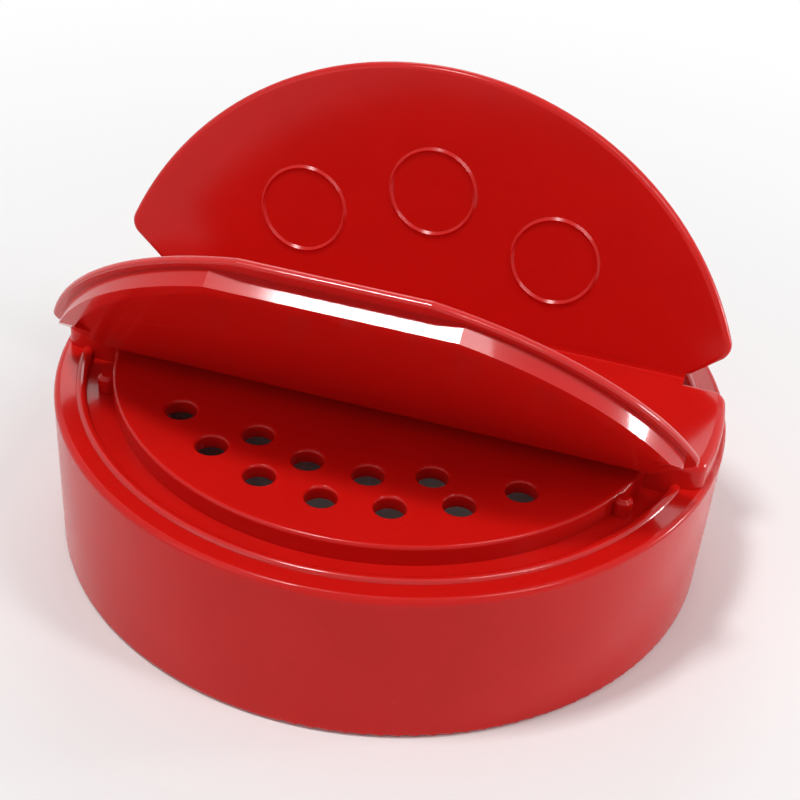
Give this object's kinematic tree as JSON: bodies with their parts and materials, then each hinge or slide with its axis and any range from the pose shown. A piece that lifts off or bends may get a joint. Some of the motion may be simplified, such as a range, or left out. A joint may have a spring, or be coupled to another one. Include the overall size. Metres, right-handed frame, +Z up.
{
  "type": "flip top cap",
  "caption": "Flip top closure for a wide jar neck, in glossy red plastic, with a sifter flap and a pouring flap on film hinges along a raised bar.",
  "frame": {"origin": "centre of the open end, on the plane that it stands on", "axes": "+Z up along the neck's axis, X along the hinge bar, -Y towards the sifter flap"},
  "size_m": [0.067, 0.067, 0.0456],
  "materials": {
    "red_plastic": "glossy moulded polypropylene"
  },
  "bodies": {
    "cap": {"closure_body": "red_plastic"},
    "front_flap": {"front_flap": "red_plastic"},
    "back_flap": {"back_flap": "red_plastic"}
  },
  "joints": [
    {"name": "front_flap_hinge", "type": "hinge", "parent": "cap", "child": "front_flap", "pos_m": [0, -0.0076, 0.0196], "axis": [-1, 0, 0], "range_deg": [-56.5, 43.5]},
    {"name": "back_flap_hinge", "type": "hinge", "parent": "cap", "child": "back_flap", "pos_m": [0, 0.0076, 0.0196], "axis": [1, 0, 0], "range_deg": [-80, 20]}
  ]
}
